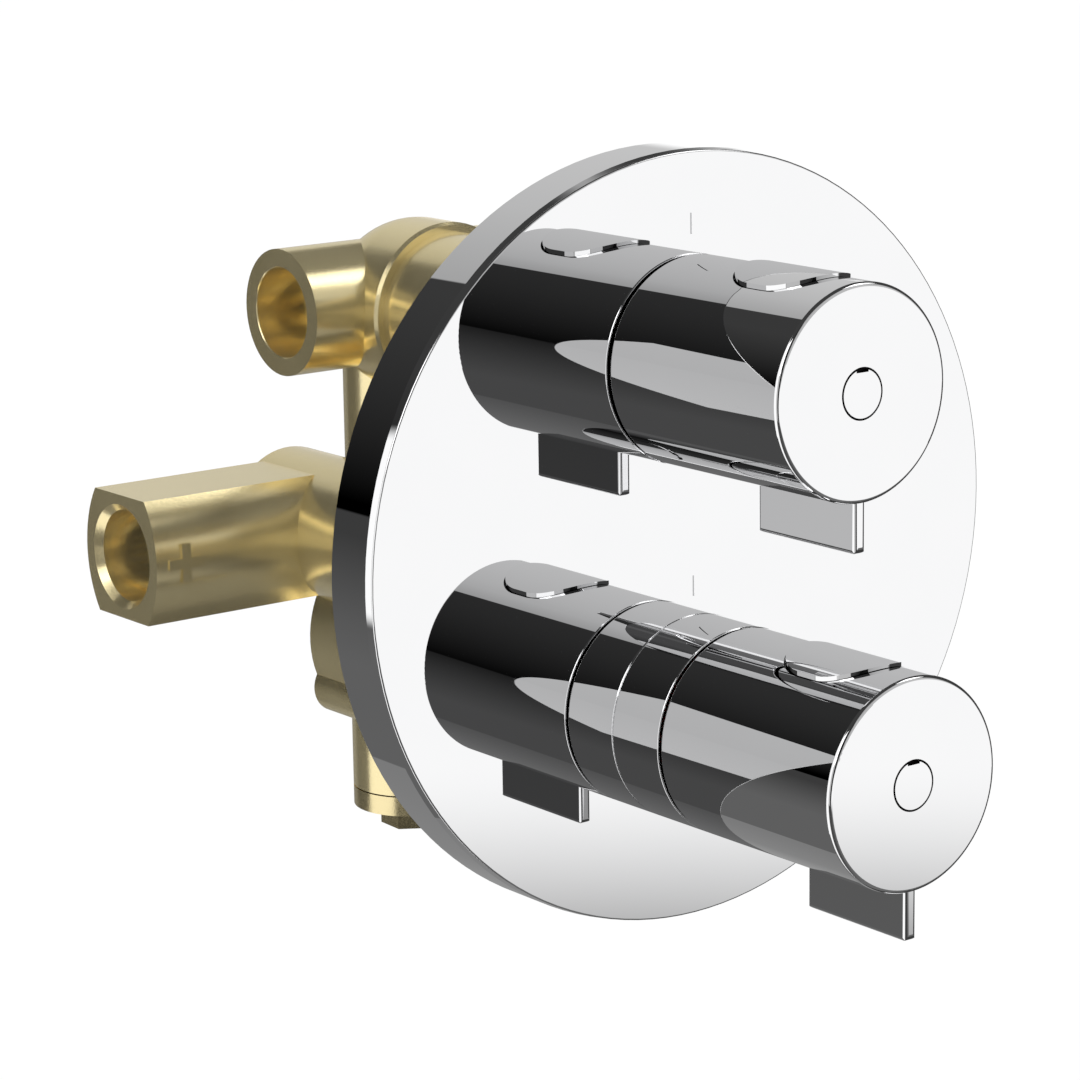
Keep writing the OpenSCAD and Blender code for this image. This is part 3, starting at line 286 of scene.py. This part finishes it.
def front_right(tree, azimuth, elevation):
    """A pale wall, a low white panel and a dark floor, whose edge sinks a little to the right."""
    floor_level = tree.line(azimuth, FRONT_RIGHT_FLOOR)
    wall_level = tree.line(azimuth, FRONT_RIGHT_WALL)
    above_floor = tree.mix(tree.ramp(elevation, *PANEL_TOP), WHITE, wall_level)
    edge = tree.ramp(azimuth, *FLOOR_EDGE_AZIMUTH, *FLOOR_EDGE_ELEVATION)
    over_edge = tree.ramp(tree.calc("SUBTRACT", elevation, edge), *FLOOR_EDGE_FADE)
    return tree.mix(over_edge, floor_level, above_floor)


def back_right(tree, turn, elevation):
    """A pale wall above a grey floor, with a lamp at its edge."""
    floor_level = tree.line(turn, BACK_RIGHT_FLOOR)
    wall_level = tree.line(turn, BACK_RIGHT_WALL)
    level = tree.step(elevation, BACK_HORIZON, floor_level, wall_level)
    from_lamp = tree.length(tree.calc("SUBTRACT", turn, BACK_LAMP_TURN), elevation)
    return tree.mix(tree.ramp(from_lamp, *BACK_LAMP_EDGE), BRIGHT, level)


def back_left(tree, elevation):
    """A dark wall above a grey floor."""
    floor_level = tree.line(elevation, BACK_LEFT_FLOOR)
    wall_level = tree.line(elevation, BACK_LEFT_WALL)
    return tree.step(elevation, BACK_HORIZON, floor_level, wall_level)


def studio_level(tree, azimuth, turn, elevation):
    """The front, the back, the bright left between them, and the dark overhead."""
    left_wall = front_left(tree, elevation)
    front = tree.step(azimuth, FRONT_CORNER, left_wall, front_right(tree, azimuth, elevation))
    front = tree.mix(tree.ramp(azimuth, *FRONT_END), front, DARK)
    back = tree.step(turn, BACK_CORNER, back_right(tree, turn, elevation), back_left(tree, elevation))
    back = tree.step(turn, LEFT_START, back, BRIGHT, LEFT_START_SOFT)
    # the pale wall behind at the right starts further round when seen higher
    lean = tree.calc("MULTIPLY", tree.calc("MAXIMUM", elevation, 0.0), BACK_START_LEAN)
    back = tree.mix(tree.ramp(tree.calc("SUBTRACT", turn, lean), *BACK_START), DARK, back)
    studio = tree.mix(tree.inside(turn, *BACK_HALF), front, back)
    left_end = tree.mix(tree.ramp(turn, *LEFT_END), BRIGHT, left_wall)
    studio = tree.mix(tree.inside(turn, *LEFT_END_SPAN), studio, left_end)
    return tree.mix(tree.ramp(elevation, *OVERHEAD), studio, DARK)


def dome_level(tree, sideways, elevation):
    """Brighter from above and from the right."""
    rise = tree.ramp(elevation, *DOME_ELEVATION, *DOME_RISE)
    side = tree.ramp(sideways, *DOME_SIDEWAYS, *DOME_SIDE_SHARES, "LINEAR")
    return tree.calc("MULTIPLY", rise, side)


def world():
    """White to the camera, the studio to gloss, and a soft dome to everything else."""
    studio = bpy.data.worlds.new("studio")
    bpy.context.scene.world = studio
    studio.use_nodes = True
    tree = Tree(studio.node_tree)
    x, y, z = tree.parts(tree.node("ShaderNodeTexCoord").outputs["Generated"])
    azimuth = tree.calc("DEGREES", tree.calc("ARCTAN2", x, tree.calc("MULTIPLY", y, -1.0)))
    turn = tree.calc("MODULO", tree.calc("ADD", azimuth, FULL_TURN), FULL_TURN)
    height = tree.calc("MINIMUM", tree.calc("MAXIMUM", z, -1.0), 1.0)
    elevation = tree.calc("DEGREES", tree.calc("ARCSINE", height))
    ray = tree.node("ShaderNodeLightPath").outputs
    dome = tree.coloured("ShaderNodeBackground", dome_level(tree, x, elevation))
    gloss = tree.coloured("ShaderNodeBackground", studio_level(tree, azimuth, turn, elevation))
    white = tree.coloured("ShaderNodeBackground", WHITE_COLOUR)
    unseen = tree.mix_shader(ray["Is Glossy Ray"], dome, gloss)
    tree.output("ShaderNodeOutputWorld", tree.mix_shader(ray["Is Camera Ray"], unseen, white))


def lamp(name, place, target, width, height, power):
    data = bpy.data.lights.new(name, "AREA")
    data.shape = "RECTANGLE"
    data.size = width
    data.size_y = height
    data.energy = power
    obj = bpy.data.objects.new(name, data)
    bpy.context.scene.collection.objects.link(obj)
    obj.location = place
    obj.rotation_euler = (target - place).to_track_quat("-Z", "Y").to_euler()


def lamps():
    lamp("key", KEY_PLACE, KEY_TARGET, KEY_SIZE, KEY_SIZE, KEY_POWER)
    lamp("fill", FILL_PLACE, FILL_TARGET, FILL_SIZE, FILL_SIZE, FILL_POWER)
    centre = CARD_EDGE + CARD_SIDE * CARD_WIDTH / 2
    facing = CARD_SIDE.cross(UP)
    power = CARD_LEVEL * math.pi * CARD_WIDTH * CARD_HEIGHT
    lamp("card", centre, centre + facing, CARD_WIDTH, CARD_HEIGHT, power)


def floor():
    """A white floor that keeps a soft shadow and isn't mirrored."""
    mesh = bpy.data.meshes.new("floor")
    corners = [(-1, -1), (1, -1), (1, 1), (-1, 1)]
    places = [(x * FLOOR_REACH, y * FLOOR_REACH, FLOOR_HEIGHT) for x, y in corners]
    mesh.from_pydata(places, [], [(0, 1, 2, 3)])
    obj = bpy.data.objects.new("floor", mesh)
    bpy.context.scene.collection.objects.link(obj)
    material = bpy.data.materials.new("floor")
    material.use_nodes = True
    tree = Tree(material.node_tree)
    white = tree.coloured("ShaderNodeEmission", WHITE_COLOUR)
    shaded = tree.coloured("ShaderNodeBsdfDiffuse", FLOOR_COLOUR)
    clear = tree.node("ShaderNodeBsdfTransparent").outputs[0]
    is_gloss = tree.node("ShaderNodeLightPath").outputs["Is Glossy Ray"]
    seen = tree.mix_shader(FLOOR_SHADED_SHARE, white, shaded)
    tree.output("ShaderNodeOutputMaterial", tree.mix_shader(is_gloss, seen, clear))
    obj.data.materials.append(material)


def new_material(name):
    """A new material, its tree, its shader, and the place on the object that its textures follow."""
    material = bpy.data.materials.new(name)
    material.use_nodes = True
    tree = Tree(material.node_tree)
    shader = tree.node("ShaderNodeBsdfPrincipled")
    tree.output("ShaderNodeOutputMaterial", shader.outputs[0])
    return material, tree, shader, tree.node("ShaderNodeTexCoord").outputs["Object"]


def bump(tree, shader, height, distance, strength):
    node = tree.node("ShaderNodeBump")
    node.inputs["Strength"].default_value = strength
    node.inputs["Distance"].default_value = distance
    tree.put(node.inputs["Height"], height)
    tree.put(shader.inputs["Normal"], node.outputs[0])


def chrome(name="chrome", front=None, radius=None):
    """Polished chrome with faint clouds and marks. Where a front is given, the surface behind that point and
    within the radius is painted dark: painted shade in the groove round a screw cover."""
    material, tree, shader, place = new_material(name)
    colour = tree.mix(tree.noise(place, CHROME_CLOUD_SCALE, CHROME_CLOUD_DETAIL), *CHROME_COLOURS, "RGBA")
    marks = tree.noise(place, CHROME_MARK_SCALE, CHROME_MARK_DETAIL)
    rough = tree.ramp(marks, *CHROME_MARK_LEVELS, *CHROME_ROUGHNESS)
    if front is not None:
        # painted shade: a dark colour behind the front and within the radius, in the groove round a screw
        # cover
        x, y, z = tree.parts(place)
        from_middle = tree.length(tree.calc("SUBTRACT", x, front.x), tree.calc("SUBTRACT", z, front.z))
        behind = tree.calc("GREATER_THAN", y, front.y)
        dark = tree.calc("MULTIPLY", behind, tree.calc("LESS_THAN", from_middle, radius))
        colour = tree.mix(dark, colour, GROOVE_SHADE_COLOUR, "RGBA")
        rough = tree.mix(dark, rough, GROOVE_ROUGHNESS)
    tree.put(shader.inputs["Base Color"], colour)
    shader.inputs["Metallic"].default_value = 1
    tree.put(shader.inputs["Roughness"], rough)
    return material


def cast_brass():
    material, tree, shader, place = new_material("cast_brass")
    cloud = tree.noise(place, BRASS_CLOUD_SCALE, CLOUD_DETAIL)
    tree.put(shader.inputs["Base Color"], tree.mix(cloud, *BRASS_COLOURS, "RGBA"))
    shader.inputs["Metallic"].default_value = BRASS_METALLIC
    tree.put(shader.inputs["Roughness"], tree.ramp(cloud, *NOISE_LEVELS, *BRASS_ROUGHNESS))
    grain = tree.noise(place, BRASS_GRAIN_SCALE, GRAIN_DETAIL)
    bump(tree, shader, grain, BRASS_GRAIN_DEPTH, BRASS_GRAIN_STRENGTH)
    return material


def plain(name, colour, roughness, scale, metallic=0.0):
    material, tree, shader, place = new_material(name)
    dark = [level * (1 - COLOUR_SPREAD) for level in colour] + [1]
    pale = [level * (1 + COLOUR_SPREAD) for level in colour] + [1]
    cloud = tree.noise(place, scale, CLOUD_DETAIL)
    tree.put(shader.inputs["Base Color"], tree.mix(cloud, dark, pale, "RGBA"))
    shader.inputs["Metallic"].default_value = metallic
    marks = tree.noise(place, scale * MARKS_FINER, GRAIN_DETAIL)
    smooth, rough = roughness * (1 - ROUGHNESS_SPREAD), roughness * (1 + ROUGHNESS_SPREAD)
    tree.put(shader.inputs["Roughness"], tree.ramp(marks, *NOISE_LEVELS, smooth, rough))
    grain = tree.noise(place, scale * GRAIN_FINER, GRAIN_DETAIL)
    bump(tree, shader, grain, GRAIN_DEPTH, GRAIN_STRENGTH)
    return material


def dress_groove_shade(handle):
    """Chrome with painted shade in the groove, for a handle's screw cover and for the handle itself."""
    cover, knob = handle + "_screw_cover", handle + "_knob"
    lowest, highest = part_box(cover)
    radius = (highest.x - lowest.x) / 2
    cover_front = (lowest + highest) / 2
    cover_front.y = lowest.y + COVER_FRONT_DEPTH
    knob_front = cover_front.copy()
    knob_front.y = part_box(knob)[0].y + KNOB_FRONT_DEPTH
    nodes[cover].data.materials[0] = chrome(handle + "_cover_chrome", cover_front, radius + COVER_REACH)
    nodes[knob].data.materials[0] = chrome(handle + "_knob_chrome", knob_front, radius + KNOB_REACH)


def dress():
    """Gives each node the finish that its material slot names."""
    finishes = {
        "chrome": chrome(),
        "satin_brass": cast_brass(),
        "bright_brass": plain("turned_brass", (0.93, 0.79, 0.45), roughness=0.22, scale=200, metallic=1.0),
        "rubber": plain("rubber", (0.025, 0.025, 0.026), roughness=0.7, scale=300),
        "white_plastic": plain("white_plastic", (0.82, 0.82, 0.8), roughness=0.45, scale=250),
        "red_plastic": plain("red_plastic", (0.6, 0.06, 0.05), roughness=0.45, scale=250),
        "grey_plastic": plain("grey_plastic", (0.12, 0.125, 0.135), roughness=0.45, scale=250),
        "ceramic": plain("ceramic", (0.88, 0.88, 0.86), roughness=0.12, scale=150),
        "steel": plain("steel", (0.62, 0.62, 0.63), roughness=0.3, scale=400, metallic=1.0),
    }
    slots = {part["node"]: part["material_slot"] for part in frame["record"]["subparts"]}
    for name, obj in nodes.items():
        obj.data.materials.clear()
        obj.data.materials.append(finishes[slots[name]])
    for handle in ("flow", "temperature"):
        dress_groove_shade(handle)


camera()
world()
floor()
lamps()
dress()
